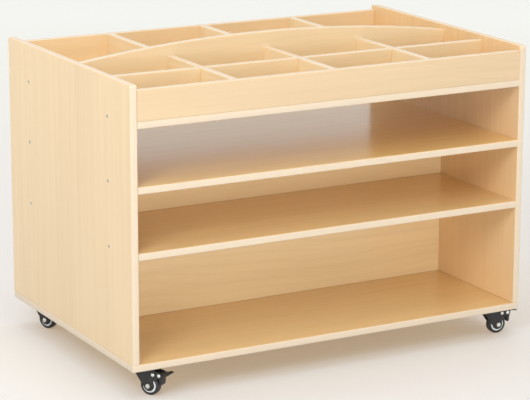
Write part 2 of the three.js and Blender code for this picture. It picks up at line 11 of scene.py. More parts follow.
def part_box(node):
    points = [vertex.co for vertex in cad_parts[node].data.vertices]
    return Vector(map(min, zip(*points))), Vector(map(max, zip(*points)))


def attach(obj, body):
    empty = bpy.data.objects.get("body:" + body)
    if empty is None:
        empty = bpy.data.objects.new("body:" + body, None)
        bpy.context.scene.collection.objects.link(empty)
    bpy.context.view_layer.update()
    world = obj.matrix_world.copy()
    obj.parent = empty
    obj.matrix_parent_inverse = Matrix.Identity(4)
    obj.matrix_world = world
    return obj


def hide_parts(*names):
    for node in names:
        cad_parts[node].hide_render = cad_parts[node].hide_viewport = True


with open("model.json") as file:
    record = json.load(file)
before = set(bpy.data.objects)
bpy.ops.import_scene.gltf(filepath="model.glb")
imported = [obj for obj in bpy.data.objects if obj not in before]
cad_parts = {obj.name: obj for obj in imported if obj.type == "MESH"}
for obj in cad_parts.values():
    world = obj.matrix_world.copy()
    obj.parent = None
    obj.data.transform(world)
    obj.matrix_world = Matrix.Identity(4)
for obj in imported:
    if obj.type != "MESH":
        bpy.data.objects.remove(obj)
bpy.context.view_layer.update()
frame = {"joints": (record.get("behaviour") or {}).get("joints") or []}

MM = 0.001
JOINTS = {joint["name"]: joint for joint in frame["joints"]}
CASTERS = ("front_left", "front_right", "back_left", "back_right")

# Boards
BOARD_EASE = 2.0 * MM
PANEL_EASE = 0.5 * MM
JOINT_EASE = 0.8 * MM
EASE_STEPS = 4
SIDE_CORNER = 9 * MM
BASE_CORNER = 5 * MM
CORNER_STEPS = 10
ARCH_STEPS = 72
LAP_CLEARANCE = 0.3 * MM
GRAIN_STEP = (0.83, 0.37)

# Connector screws of the side panels
SCREW_HEAD = 4.8 * MM
SCREW_HOLE = 5.05 * MM
SCREW_SHANK = 3.0 * MM
SCREW_SINK = 0.4 * MM
SCREW_HEAD_DEPTH = 3.0 * MM
SCREW_SOCKET = 2.5 * MM
SCREW_SOCKET_DEPTH = 2.2 * MM
HOLE_EASE = 0.3 * MM

# Casters
PLATE_SIZE = (62 * MM, 50 * MM)
PLATE_CORNER = 6 * MM
PLATE_HOLE = 2.8 * MM
PLATE_HOLE_EDGE = 7 * MM
STEEL_EASE = 0.5 * MM
RACE_RADIUS = 20 * MM
KINGPIN_RADIUS = 5 * MM
KINGPIN_HEAD = 8.5 * MM
CROWN_RADIUS = 21 * MM
CROWN_THICKNESS = 5 * MM
SWIVEL_GAP = 0.4 * MM
RUNNING_FIT = 0.25 * MM
SHEET = 2.5 * MM
LEG_INNER = 10.7 * MM
LEG_OUTER = LEG_INNER + SHEET
LEG_LEADING = -20 * MM
BEND_RADIUS = 4 * MM
ROOF_DROP = 0.1 * MM
FOOT_RADIUS = 13 * MM
LEG_WAIST = 12.5 * MM
HORN_RADIUS = 8 * MM
HORN_DEPTH = 11 * MM
AXLE_RADIUS = 4 * MM
NUT_RADIUS = 6.2 * MM
NUT_HEIGHT = 4.5 * MM
RIVET_RADIUS = 4.6 * MM
RIVET_HEIGHT = 1.8 * MM
RIVET_DIMPLE = 1.1 * MM
STOP_RIVET_OFFSET = 12 * MM
TYRE_WIDTH = 19 * MM
TYRE_SHOULDER = 5 * MM
HUB_RADIUS = 18 * MM
HUB_RING = 4.6 * MM
HUB_WIDTH = 18 * MM
PEDAL_REACH = 77 * MM
PEDAL_ROOT = 26 * MM
PEDAL_FLARE = 68 * MM
PEDAL_WIDTH = 35 * MM
PEDAL_EAR = 6 * MM
PEDAL_TIP_RISE = 2 * MM
PEDAL_LIP = 5 * MM
PEDAL_LIP_DROP = 2.5 * MM
PEDAL_GAP = 0.8 * MM
PEDAL_BEND = 1.5 * MM
PIVOT_HOLE = 3.25 * MM
SHOE_DROP = 27 * MM
SHOE_LIP = 5.25 * MM
SHOE_BEND = 2.5 * MM
SHOE_PAD = 8 * MM
SHOE_CLEARANCE = 5 * MM
TURN_STEPS = 64
SMALL_TURN_STEPS = 32
SCREW_TURN_STEPS = 24
SHARP_ANGLE = math.radians(40)


# Outlines


def arc(centre, radius, start, end, steps):
    """Points of a circle arc: centre + radius * (cos t, sin t) for t from start to end in degrees."""
    t = np.radians(np.linspace(start, end, steps + 1))
    return np.asarray(centre) + radius * np.stack([np.cos(t), np.sin(t)], -1)


def outline(*runs):
    """A closed outline from runs of points; each run's edges are eased by the run's own radius."""
    points = [np.atleast_2d(np.asarray(run[0], float)) for run in runs]
    ease = [np.full(len(run), radius) for run, (_, radius) in zip(points, runs)]
    return np.concatenate(points), np.concatenate(ease)


def round_hole(centre, radius, ease, steps=SMALL_TURN_STEPS):
    """A circle run clockwise, so that the wall of the hole looks towards its middle."""
    points = arc(centre, radius, 360, 0, steps)[:-1]
    return points, np.full(steps, ease)


def rounded_box_outline(low, high, radius, ease):
    """A rectangle with four corner arcs, counter-clockwise from the lower right corner."""
    (x0, y0), (x1, y1) = low, high
    r = radius
    return outline(
        (arc((x1 - r, y0 + r), r, -90, 0, CORNER_STEPS), ease),
        (arc((x1 - r, y1 - r), r, 0, 90, CORNER_STEPS), ease),
        (arc((x0 + r, y1 - r), r, 90, 180, CORNER_STEPS), ease),
        (arc((x0 + r, y0 + r), r, 180, 270, CORNER_STEPS), ease),
    )


def smooth_path(points, radius, steps=6):
    """A polyline whose inner corners are arcs of the radius: each corner is left a tangent length
    before it and joined again after it by a quadratic blend."""
    points = np.asarray(points, float)
    t = np.linspace(0, 1, steps + 1)[:, None]
    runs = [points[:1]]
    for before, corner, after in zip(points[:-2], points[1:-1], points[2:]):
        start = corner + (before - corner) * min(radius / np.linalg.norm(before - corner), 0.49)
        end = corner + (after - corner) * min(radius / np.linalg.norm(after - corner), 0.49)
        runs.append((1 - t) ** 2 * start + 2 * t * (1 - t) * corner + t**2 * end)
    return np.concatenate(runs + [points[-1:]])


# Surfaces: each is a pair of points and patches, and a patch is faces with a smooth flag


def band_quads(rings, columns):
    """Quads between neighbouring rings of a closed band: (r, c), (r, c+1), (r+1, c+1), (r+1, c)."""
    r, c = np.meshgrid(np.arange(rings - 1), np.arange(columns), indexing="ij")
    n = (c + 1) % columns
    corners = [r * columns + c, r * columns + n, (r + 1) * columns + n, (r + 1) * columns + c]
    return np.stack(corners, -1).reshape(-1, 4)


def eased_rings(points, ease, thickness):
    """Rings of a plate's rim. At angle a of the quarter round a ring lies ease*(1-cos a) inside the
    outline and ease*(1-sin a) below the face; the lower half mirrors the upper half.
    A corner moves to where its two edges, each moved inwards by its own ease, cross."""
    edge = np.roll(points, -1, axis=0) - points
    normal = np.stack([-edge[:, 1], edge[:, 0]], -1)
    normal /= np.linalg.norm(normal, axis=1, keepdims=True)
    before, ease_before = np.roll(normal, 1, axis=0), np.roll(ease, 1)
    turn = before[:, 0] * normal[:, 1] - before[:, 1] * normal[:, 0]
    straight = np.abs(turn) < 1e-3
    safe = np.where(straight, 1.0, turn)
    corner = np.stack(
        [
            (ease_before * normal[:, 1] - ease * before[:, 1]) / safe,
            (ease * before[:, 0] - ease_before * normal[:, 0]) / safe,
        ],
        -1,
    )
    along = normal * ((ease + ease_before) / 2)[:, None]
    inset = np.where(straight[:, None], along, corner)
    depth = np.maximum(ease, ease_before)
    a = np.radians(np.linspace(0, 90, EASE_STEPS + 1))[:, None]
    flat = points[None] + inset[None] * (1 - np.cos(a))[..., None]
    height = thickness / 2 - depth[None] * (1 - np.sin(a))
    upper = np.concatenate([flat, height[..., None]], -1)
    lower = upper[::-1] * np.array([1, 1, -1])
    return np.concatenate([lower, upper])


def flat_fill(loops):
    """Triangles that fill the first loop and leave out the later ones, which are holes."""
    points = np.concatenate(loops) / MM
    owner = np.repeat(np.arange(len(loops)), [len(loop) for loop in loops])
    first = np.cumsum([0] + [len(loop) for loop in loops])
    edges = [
        (start + i, start + (i + 1) % len(loop))
        for start, loop in zip(first, loops)
        for i in range(len(loop))
    ]
    found = delaunay_2d_cdt([tuple(p) for p in points], edges, [], 1, 1e-6)
    origin = np.array([same[0] for same in found[3]])
    triangles = origin[np.array([list(face) for face in found[2]])]
    owners = owner[triangles]
    inside_hole = (owners[:, 0] > 0) & (owners == owners[:, :1]).all(1)
    return triangles[~inside_hole]


def eased_plate(shape, thickness, holes=()):
    """An outline given thickness about its own plane, with rounded arrises and through holes."""
    rings = [eased_rings(points, ease, thickness) for points, ease in (shape, *holes)]
    sizes = [ring.shape[0] * ring.shape[1] for ring in rings]
    starts = np.cumsum([0] + sizes)
    bands = [band_quads(*ring.shape[:2]) + start for ring, start in zip(rings, starts)]
    bottom = np.concatenate([start + np.arange(ring.shape[1]) for ring, start in zip(rings, starts)])
    ends = starts[1:]
    top = np.concatenate([end - np.arange(ring.shape[1], 0, -1) for ring, end in zip(rings, ends)])
    loops = [ring[-1, :, :2] for ring in rings]
    fill = flat_fill(loops)
    fill = np.where(turns_left(fill, np.concatenate(loops)), fill, fill[:, ::-1])
    points = np.concatenate([ring.reshape(-1, 3) for ring in rings])
    return points, [(np.concatenate(bands), True), (top[fill], False), (bottom[fill[:, ::-1]], False)]


def turns_left(triangles, points):
    """True for each triangle whose corners run counter-clockwise."""
    a, b, c = (points[triangles[:, i]] for i in range(3))
    area = (b[:, 0] - a[:, 0]) * (c[:, 1] - a[:, 1]) - (b[:, 1] - a[:, 1]) * (c[:, 0] - a[:, 0])
    return (area > 0)[:, None]


def turned(profile, steps=TURN_STEPS):
    """A surface of revolution about Z: point (i, j) is (r_i cos t_j, r_i sin t_j, h_i), where r_i may
    itself vary with t_j. A radius of zero closes the end in a pole."""
    angle = np.arange(steps) * 2 * np.pi / steps
    radius = np.stack([np.broadcast_to(np.asarray(r, float), steps) for r, _ in profile])
    height = np.array([h for _, h in profile])[:, None] + np.zeros(steps)
    points = np.stack([radius * np.cos(angle), radius * np.sin(angle), height], -1)
    return points.reshape(-1, 3), [(band_quads(len(profile), steps), True)]


def carried_bar(path, thickness, ease):
    """A flat bar carried along a path in the X-Z plane whose points hold x, z and half width: at each
    one a rectangle with round corners stands across the path, and flat faces close both ends."""
    path = np.asarray(path, float)
    along = np.gradient(path[:, :2], axis=0)
    along /= np.linalg.norm(along, axis=1, keepdims=True)
    normal = np.stack([-along[:, 1], along[:, 0]], -1)
    corners = [arc((0, 0), ease, start, start + 90, 4) for start in (0, 90, 180, 270)]
    rounds = np.concatenate(corners)
    sign = np.array([(1, 1), (-1, 1), (-1, -1), (1, -1)], float).repeat(len(corners[0]), axis=0)
    across = sign[:, 0] * (path[:, 2:] - ease) + rounds[:, 0]
    lift = sign[:, 1] * (thickness / 2 - ease) + rounds[:, 1]
    x = path[:, :1] + normal[:, :1] * lift
    z = path[:, 1:2] + normal[:, 1:] * lift
    points = np.stack([x, across, z], -1).reshape(-1, 3)
    columns = len(rounds)
    first = np.arange(columns)[None, ::-1]
    last = np.arange(columns)[None] + (len(path) - 1) * columns
    return points, [(band_quads(len(path), columns), True), (first, False), (last, False)]


def hexagon(radius, steps=TURN_STEPS):
    """Distance from the middle to a hexagon's side: radius*cos 30 / cos of the angle from that side's
    own middle."""
    t = np.arange(steps) * 2 * np.pi / steps
    from_middle = np.mod(t, np.pi / 3) - np.pi / 6
    return radius * math.cos(math.pi / 6) / np.cos(from_middle)


def quarter(radius, height, reach, drop, steps=EASE_STEPS, outwards=True):
    """Profile points of a quarter ellipse that ends at (radius, height): outwards it runs from
    (radius - reach, height - drop), rising last; otherwise it closes in from a rising start."""
    a = np.radians(np.linspace(0, 90, steps + 1))
    if outwards:
        return list(zip(radius - reach * (1 - np.sin(a)), height - drop * np.cos(a)))
    return list(zip(radius + reach * np.cos(a), height - drop * (1 - np.sin(a))))


def moved(surface, turn=None, shift=(0, 0, 0)):
    """A surface turned by a 3 by 3 matrix of row directions, then shifted."""
    points, patches = surface
    turn = np.eye(3) if turn is None else np.asarray(turn, float)
    return points @ turn + np.asarray(shift, float), patches


# Row directions that lay a plate's own a, b and thickness along the part's axes
FLAT = np.eye(3)
FACING_SIDE = np.array([[0, 1, 0], [0, 0, 1], [1, 0, 0]], float)
FACING_FRONT = np.array([[1, 0, 0], [0, 0, 1], [0, -1, 0]], float)


def weld(mesh):
    """Joins points that fall together, such as the rings of a square arris or a pole."""
    work = bmesh.new()
    work.from_mesh(mesh)
    bmesh.ops.remove_doubles(work, verts=work.verts, dist=1e-6)
    bmesh.ops.dissolve_degenerate(work, edges=work.edges, dist=1e-7)
    work.to_mesh(mesh)
    work.free()


def add_piece(name, surfaces, finish, body, replaced=()):
    """One mesh from several surfaces, riding on a body of the part."""
    mesh = bpy.data.meshes.new(name)
    starts = np.cumsum([0] + [len(points) for points, _ in surfaces])
    points = np.concatenate([points for points, _ in surfaces])
    patches = [
        (faces + start, smooth)
        for (_, group), start in zip(surfaces, starts)
        for faces, smooth in group
    ]
    faces = [face for group, _ in patches for face in group.tolist()]
    smooth = np.concatenate([np.full(len(group), flag) for group, flag in patches])
    mesh.from_pydata(points.tolist(), [], faces)
    mesh.polygons.foreach_set("use_smooth", smooth)
    weld(mesh)
    kept = np.empty(len(mesh.polygons), bool)
    mesh.polygons.foreach_get("use_smooth", kept)
    mesh.set_sharp_from_angle(angle=SHARP_ANGLE)
    mesh.polygons.foreach_set("use_smooth", kept)
    mesh.materials.append(finish)
    made = bpy.data.objects.new(name, mesh)
    bpy.context.scene.collection.objects.link(made)
    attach(made, body)
    if replaced:
        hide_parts(*replaced)
    return made


# Materials


def add_node(tree, kind, inputs=None, **settings):
    node = tree.nodes.new(kind)
    for key, value in settings.items():
        setattr(node, key, value)
    for key, value in (inputs or {}).items():
        if isinstance(value, bpy.types.NodeSocket):
            tree.links.new(value, node.inputs[key])
        else:
            node.inputs[key].default_value = value
    return node


def new_finish(name):
    finish = bpy.data.materials.new(name)
    finish.use_nodes = True
    tree = finish.node_tree
    return finish, tree, tree.nodes["Principled BSDF"]


def math_node(tree, operation, first, second=0.0, third=0.0):
    inputs = {0: first, 1: second, 2: third}
    return add_node(tree, "ShaderNodeMath", inputs, operation=operation).outputs[0]


def blend_colour(tree, factor, first, second):
    inputs = {"Factor": factor, 6: first, 7: second}
    return add_node(tree, "ShaderNodeMix", inputs, data_type="RGBA").outputs[2]


def stretched_noise(tree, vector, stretch, detail, roughness=0.55):
    """Noise on a vector that is scaled differently along each of its axes."""
    mapped = add_node(tree, "ShaderNodeMapping", {"Vector": vector, "Scale": stretch})
    inputs = {
        "Vector": mapped.outputs[0],
        "Scale": 1.0,
        "Detail": detail,
        "Roughness": roughness,
    }
    return add_node(tree, "ShaderNodeTexNoise", inputs).outputs["Fac"]


def spread(tree, value, low, high, to_low=0.0, to_high=1.0):
    inputs = {"Value": value, 1: low, 2: high, 3: to_low, 4: to_high}
    return add_node(tree, "ShaderNodeMapRange", inputs).outputs[0]


def add_relief(tree, shader, height, strength, distance):
    inputs = {"Strength": strength, "Distance": distance, "Height": height}
    bump = add_node(tree, "ShaderNodeBump", inputs)
    tree.links.new(bump.outputs[0], shader.inputs["Normal"])


MAPLE_PALE = (0.920, 0.699, 0.421)
MAPLE_DEEP = (0.840, 0.626, 0.369)
MAPLE_LINE = (0.790, 0.545, 0.285)
# What each kind of board multiplies the maple colours by. Besides real differences of tone between
# boards, these factors hold painted light and shade. The centre panels, tray and back rail are paler,
# as painted light inside the bays, and the front rail is darker. The shelves are deeper and more
# orange, as painted shade and bounce from the wood. The upper shelf is redder and deeper beneath its
# reflection.
CASE_TINT_AND_PAINTED_LIGHT = (1.010, 0.955, 0.895)
RAIL_TINT_AND_PAINTED_LIGHT = (0.880, 0.840, 0.835)
SHELF_TINT_AND_PAINTED_LIGHT = (0.938, 0.868, 0.685)
PANEL_TINT_AND_PAINTED_LIGHT = (1.055, 1.095, 1.065)
TRAY_TINT_AND_PAINTED_LIGHT = (1.020, 1.100, 1.205)
BACK_RAIL_TINT_AND_PAINTED_LIGHT = (1.035, 1.055, 1.100)
TOP_SHELF_TINT_AND_PAINTED_LIGHT = (1.080, 0.935, 0.580)
EDGE_PALE = (0.810, 0.650, 0.475, 1)
EDGE_DEEP = (0.760, 0.585, 0.395, 1)
FLOOR_NEAR = 1.2
FLOOR_FAR = 5.0
# Near the unit a deeper floor colour and a warm lift together paint bounce light from the wood into
# the unit's shadow
FLOOR_NEAR_COLOUR = (0.45, 0.53, 0.60, 1)
FLOOR_FAR_COLOUR = (0.81, 0.82, 0.785, 1)
FLOOR_NEAR_PAINTED_BOUNCE = (0.360, 0.250, 0.155, 1)
FLOOR_FAR_LIFT = (0.170, 0.170, 0.160, 1)
LACQUER_IOR = 1.55
LACQUER_COAT = 0.3
TOP_SHELF_COAT = 0.5
COAT_ROUGHNESS = 0.17
EDGE_ROUGHER = 0.18
FACE_ROUGHNESS = 0.18
STREAK_ROUGHNESS = 0.08
STREAK_SHARE = 0.55
CLOUD_SHARE = 0.45
RING_RATE = 260.0
RING_WARP = 0.30
FIGURE_WEIGHT = 0.18
HAIR_WEIGHT = 0.14
PORE_WEIGHT = 0.22
PLY_WEIGHT = 0.22
FIBRE_WEIGHT = 0.35
HALF_BOARD = 9 * MM
FACE_VENEER = 0.35 * MM
VENEER_FADE = 0.75 * MM
PLY_PITCH = 2.6 * MM


def maple_board(name, tint_and_painted_light, coat=LACQUER_COAT):
    """Lacquered maple face with fine streaks and a faint arched figure; the edge of the board shows
    its pale plies. The attribute grain holds metres along, across and through each board, so the
    noise rates are per metre in that order."""
    finish, tree, shader = new_finish(name)
    colours = (MAPLE_PALE, MAPLE_DEEP, MAPLE_LINE)
    # The factor gives each kind of board its own tone together with painted light and shade.
    pale, deep, line = ((*np.multiply(colour, tint_and_painted_light), 1) for colour in colours)
    grain = add_node(tree, "ShaderNodeAttribute", attribute_name="grain").outputs["Vector"]
    _, across, through = add_node(tree, "ShaderNodeSeparateXYZ", {0: grain}).outputs

    def laid_over(ground, mark, weight, colour):
        return blend_colour(tree, math_node(tree, "MULTIPLY", mark, weight), ground, colour)

    streak = stretched_noise(tree, grain, (1.1, 38, 0), 5, 0.62)
    hair = stretched_noise(tree, grain, (5, 420, 0), 3, 0.6)
    cloud = stretched_noise(tree, grain, (0.9, 2.6, 0), 2)
    warp = stretched_noise(tree, grain, (0.75, 2.4, 0), 2)
    ring = math_node(tree, "MULTIPLY_ADD", warp, RING_WARP, across)
    ring = math_node(tree, "SINE", math_node(tree, "MULTIPLY", ring, RING_RATE))
    broken = spread(tree, cloud, 0.46, 0.62)
    figure = math_node(tree, "MULTIPLY", spread(tree, ring, 0.2, 1.0), broken)
    pore = spread(tree, stretched_noise(tree, grain, (38, 900, 0), 2), 0.63, 0.76)

    cloudy = math_node(tree, "MULTIPLY", cloud, CLOUD_SHARE)
    tone = math_node(tree, "MULTIPLY_ADD", streak, STREAK_SHARE, cloudy)
    face = blend_colour(tree, spread(tree, tone, 0.36, 0.64), pale, deep)
    face = laid_over(face, figure, FIGURE_WEIGHT, line)
    face = laid_over(face, spread(tree, hair, 0.5, 0.72), HAIR_WEIGHT, line)
    face = laid_over(face, pore, PORE_WEIGHT, line)

    layer = math_node(tree, "MULTIPLY", through, 2 * math.pi / PLY_PITCH)
    ply = spread(tree, math_node(tree, "SINE", layer), -0.2, 0.9)
    fibre = stretched_noise(tree, grain, (9, 9, 900), 4, 0.6)
    edge = laid_over(EDGE_PALE, ply, PLY_WEIGHT, EDGE_DEEP)
    edge = laid_over(edge, spread(tree, fibre, 0.5, 0.75), FIBRE_WEIGHT, EDGE_DEEP)

    depth = math_node(tree, "ABSOLUTE", through)
    on_edge = spread(tree, depth, HALF_BOARD - VENEER_FADE, HALF_BOARD - FACE_VENEER, 1.0, 0.0)
    colour = blend_colour(tree, on_edge, face, edge)
    tree.links.new(colour, shader.inputs["Base Color"])

    shader.inputs["IOR"].default_value = LACQUER_IOR
    shader.inputs["Coat Weight"].default_value = coat
    shader.inputs["Coat Roughness"].default_value = COAT_ROUGHNESS
    gloss = math_node(tree, "MULTIPLY_ADD", streak, STREAK_ROUGHNESS, FACE_ROUGHNESS)
    rough = math_node(tree, "MULTIPLY_ADD", on_edge, EDGE_ROUGHER, gloss)
    tree.links.new(rough, shader.inputs["Roughness"])
    relief = math_node(tree, "MULTIPLY_ADD", hair, 0.5, math_node(tree, "MULTIPLY", pore, -0.6))
    bare_ply = math_node(tree, "MULTIPLY", ply, on_edge)
    relief = math_node(tree, "MULTIPLY_ADD", bare_ply, -0.5, relief)
    add_relief(tree, shader, relief, 0.12, 0.3 * MM)
    return finish


def mottled_finish(name, first, second, roughness, metallic, grain_rate, relief):
    """Paint, plating, rubber or plastic: mottled colour, uneven roughness and a fine skin."""
    finish, tree, shader = new_finish(name)
    where = add_node(tree, "ShaderNodeTexCoord").outputs["Object"]
    patch = stretched_noise(tree, where, (70, 70, 70), 4)
    skin = stretched_noise(tree, where, (grain_rate,) * 3, 3)
    colour = blend_colour(tree, spread(tree, patch, 0.35, 0.65), (*first, 1), (*second, 1))
    tree.links.new(colour, shader.inputs["Base Color"])
    uneven = 0.16
    rough = math_node(tree, "MULTIPLY_ADD", patch, uneven, roughness - uneven / 2)
    tree.links.new(rough, shader.inputs["Roughness"])
    shader.inputs["Metallic"].default_value = metallic
    add_relief(tree, shader, skin, relief, 0.2 * MM)
    return finish


def seen_directly(tree):
    """One for rays from the camera, from mirroring surfaces and through clear ones, else zero."""
    path = add_node(tree, "ShaderNodeLightPath").outputs
    seen = math_node(tree, "MAXIMUM", path["Is Camera Ray"], path["Is Glossy Ray"])
    return math_node(tree, "MAXIMUM", seen, path["Is Transmission Ray"])


def studio_floor():
    """A pale floor with barely visible mottling. Near the unit its colour is deeper and bluer, and
    the lift of what is seen of it is warm and stronger. That lift is painted bounce light from the
    wood, which lightens and warms the unit's shadow, while the deeper colour keeps the lit floor
    there from growing brighter. Far from the unit both fade to an even paper white."""
    finish, tree, shader = new_finish("studio_floor")
    where = add_node(tree, "ShaderNodeTexCoord").outputs["Object"]
    reach = add_node(tree, "ShaderNodeVectorMath", {0: where}, operation="LENGTH")
    far = spread(tree, reach.outputs["Value"], FLOOR_NEAR, FLOOR_FAR)
    patch = stretched_noise(tree, where, (1.5, 1.5, 1.5), 3)
    mottle = math_node(tree, "MULTIPLY_ADD", patch, 0.06, math_node(tree, "MULTIPLY", far, 0.94))
    colour = blend_colour(tree, mottle, FLOOR_NEAR_COLOUR, FLOOR_FAR_COLOUR)
    tree.links.new(colour, shader.inputs["Base Color"])
    shader.inputs["Roughness"].default_value = 0.75
    shader.inputs["Specular IOR Level"].default_value = 0.2
    # Near the unit the lift is painted warm bounce light from the wood; far from it an even
    # paper-white lift
    lift = blend_colour(tree, far, FLOOR_NEAR_PAINTED_BOUNCE, FLOOR_FAR_LIFT)
    tree.links.new(lift, shader.inputs["Emission Color"])
    tree.links.new(seen_directly(tree), shader.inputs["Emission Strength"])
    return finish


MAPLE_CASE = maple_board("maple_case", CASE_TINT_AND_PAINTED_LIGHT)
MAPLE_RAIL = maple_board("maple_rail", RAIL_TINT_AND_PAINTED_LIGHT)
MAPLE_SHELF = maple_board("maple_shelf", SHELF_TINT_AND_PAINTED_LIGHT)
MAPLE_TOP_SHELF = maple_board("maple_top_shelf", TOP_SHELF_TINT_AND_PAINTED_LIGHT, TOP_SHELF_COAT)
MAPLE_PANEL = maple_board("maple_panel", PANEL_TINT_AND_PAINTED_LIGHT)
MAPLE_TRAY = maple_board("maple_tray", TRAY_TINT_AND_PAINTED_LIGHT)
MAPLE_BACK_RAIL = maple_board("maple_back_rail", BACK_RAIL_TINT_AND_PAINTED_LIGHT)
# Each: name, two colours of the mottling, roughness, metallic, grains per metre, relief
GREY_ZINC = mottled_finish(
    "grey_zinc_screw", (0.56, 0.55, 0.52), (0.42, 0.41, 0.39), 0.4, 0.6, 900, 0.1
)
BLACK_COAT = mottled_finish(
    "black_powder_coat", (0.012, 0.012, 0.012), (0.024, 0.023, 0.022), 0.48, 0.0, 1400, 0.25
)
BRIGHT_ZINC = mottled_finish(
    "bright_zinc", (0.80, 0.80, 0.78), (0.66, 0.66, 0.64), 0.3, 0.9, 900, 0.08
)
BLACK_TYRE = mottled_finish(
    "black_tyre", (0.016, 0.016, 0.016), (0.030, 0.029, 0.028), 0.5, 0.0, 700, 0.2
)
PALE_CORE = mottled_finish(
    "pale_wheel_core", (0.93, 0.93, 0.91), (0.86, 0.86, 0.84), 0.38, 0.0, 500, 0.08
)


# Boards

ALONG_A = 0
ALONG_B = 1


def write_grain(board, middle, axes, grain_axis, number):
    """Stores metres along, across and through the board at each point, counted from its own middle,
    with a step of its own so that no two boards show the same stretch of figure."""
    mesh = board.data
    place = np.empty(len(mesh.vertices) * 3)
    mesh.vertices.foreach_get("co", place)
    own = (place.reshape(-1, 3) - middle) @ axes.T
    along, across = own[:, grain_axis], own[:, 1 - grain_axis]
    step_along, step_across = GRAIN_STEP
    values = np.stack([along + number * step_along, across + number * step_across, own[:, 2]], -1)
    attribute = mesh.attributes.new("grain", "FLOAT_VECTOR", "POINT")
    attribute.data.foreach_set("vector", values.astype(np.float32).ravel())


boards_made = []


def add_board(node, finish, axes, grain_axis, shape_of, holes_of=None):
    """A board in the place of its node. shape_of gets the low and high corners of the node in the
    board's own a and b directions and gives the outline."""
    low, high = (np.array(corner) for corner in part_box(node))
    middle = (low + high) / 2
    reach = np.abs(axes) @ (high - low) / 2
    centre = axes @ middle
    a_b_low, a_b_high = (centre - reach)[:2], (centre + reach)[:2]
    holes = holes_of() if holes_of else ()
    plate = eased_plate(shape_of(a_b_low, a_b_high), 2 * reach[2], holes)
    surface = moved(plate, axes, axes[2] * centre[2])
    board = add_piece(f"finished_{node}", [surface], finish, "cabinet", [node])
    write_grain(board, middle, axes, grain_axis, len(boards_made))
    boards_made.append(board)


def shelf_outline(low, high):
    """Front and back edges eased, ends square against the side panels."""
    (x0, y0), (x1, y1) = low, high
    return outline(([x0, y0], BOARD_EASE), ([x1, y0], 0), ([x1, y1], BOARD_EASE), ([x0, y1], 0))


def rail_outline(low, high):
    """Top edge eased, bottom and ends square."""
    (x0, z0), (x1, z1) = low, high
    return outline(([x0, z0], 0), ([x1, z0], 0), ([x1, z1], BOARD_EASE), ([x0, z1], 0))


def panel_outline(low, high):
    (x0, z0), (x1, z1) = low, high
    return outline(([[x0, z0], [x1, z0], [x1, z1], [x0, z1]], PANEL_EASE))


def side_outline(low, high):
    """Bottom edge barely eased on the base board, top corners round, other edges eased."""
    (y0, z0), (y1, z1) = low, high
    r = SIDE_CORNER
    return outline(
        ([y0, z0], JOINT_EASE),
        ([y1, z0], BOARD_EASE),
        (arc((y1 - r, z1 - r), r, 0, 90, CORNER_STEPS), BOARD_EASE),
        (arc((y0 + r, z1 - r), r, 90, 180, CORNER_STEPS), BOARD_EASE),
    )


def base_outline(low, high):
    return rounded_box_outline(low, high, BASE_CORNER, BOARD_EASE)


def arch_outline(low, high):
    """Top edge a circle through both rail-high ends and the crown: half span s and rise h give the
    radius (s*s + h*h) / 2h."""
    (x0, z0), (x1, crown) = low, high
    half_span = (x1 - x0) / 2
    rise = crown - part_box("front_rail")[1].z
    radius = (half_span**2 + rise**2) / (2 * rise)
    reach = math.degrees(math.asin(half_span / radius))
    top = arc(((x0 + x1) / 2, crown - radius), radius, 90 - reach, 90 + reach, ARCH_STEPS)
    return outline(([x0, z0], 0), ([x1, z0], 0), (top[:-1], BOARD_EASE), (top[-1], 0))


def lap_lines():
    """Middle and half width of the slot at each crossing of the long divider, left to right."""
    boxes = [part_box(f"front_cross_divider_{i}") for i in (1, 2, 3)]
    return [((low.x + high.x) / 2, (high.x - low.x) / 2 + LAP_CLEARANCE) for low, high in boxes]


def long_divider_outline(low, high):
    """A rail with a slot from above at each crossing."""
    (x0, z0), (x1, z1) = low, high
    half_way = (z0 + z1) / 2 - LAP_CLEARANCE / 2
    runs = [([x0, z0], 0), ([x1, z0], 0), ([x1, z1], BOARD_EASE)]
    for x, half in reversed(lap_lines()):
        runs.append(([[x + half, z1], [x + half, half_way], [x - half, half_way]], 0))
        runs.append(([x - half, z1], BOARD_EASE))
    return outline(*runs, ([x0, z1], 0))


def front_cross_outline(low, high):
    """A rail with a slot from below where it straddles the long divider."""
    (y0, z0), (y1, z1) = low, high
    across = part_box("long_divider")
    left, right = across[0].y - LAP_CLEARANCE, across[1].y + LAP_CLEARANCE
    half_way = (z0 + z1) / 2 + LAP_CLEARANCE / 2
    slot = [[left, z0], [left, half_way], [right, half_way], [right, z0]]
    return outline(([y0, z0], 0), (slot, 0), ([y1, z0], 0), ([y1, z1], BOARD_EASE), ([y0, z1], 0))


def screw_places(side):
    """Names of the connector screws of one side panel with the y and z of their middles."""
    names = [
        f"{side}_{board}_screw_{row}"
        for board in ("tray_floor", "upper_shelf", "lower_shelf")
        for row in ("front", "back")
    ]
    boxes = [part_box(name) for name in names]
    return {
        name: ((low.y + high.y) / 2, (low.z + high.z) / 2)
        for name, (low, high) in zip(names, boxes)
    }


def screw_holes(side):
    return [round_hole(place, SCREW_HOLE, HOLE_EASE) for place in screw_places(side).values()]


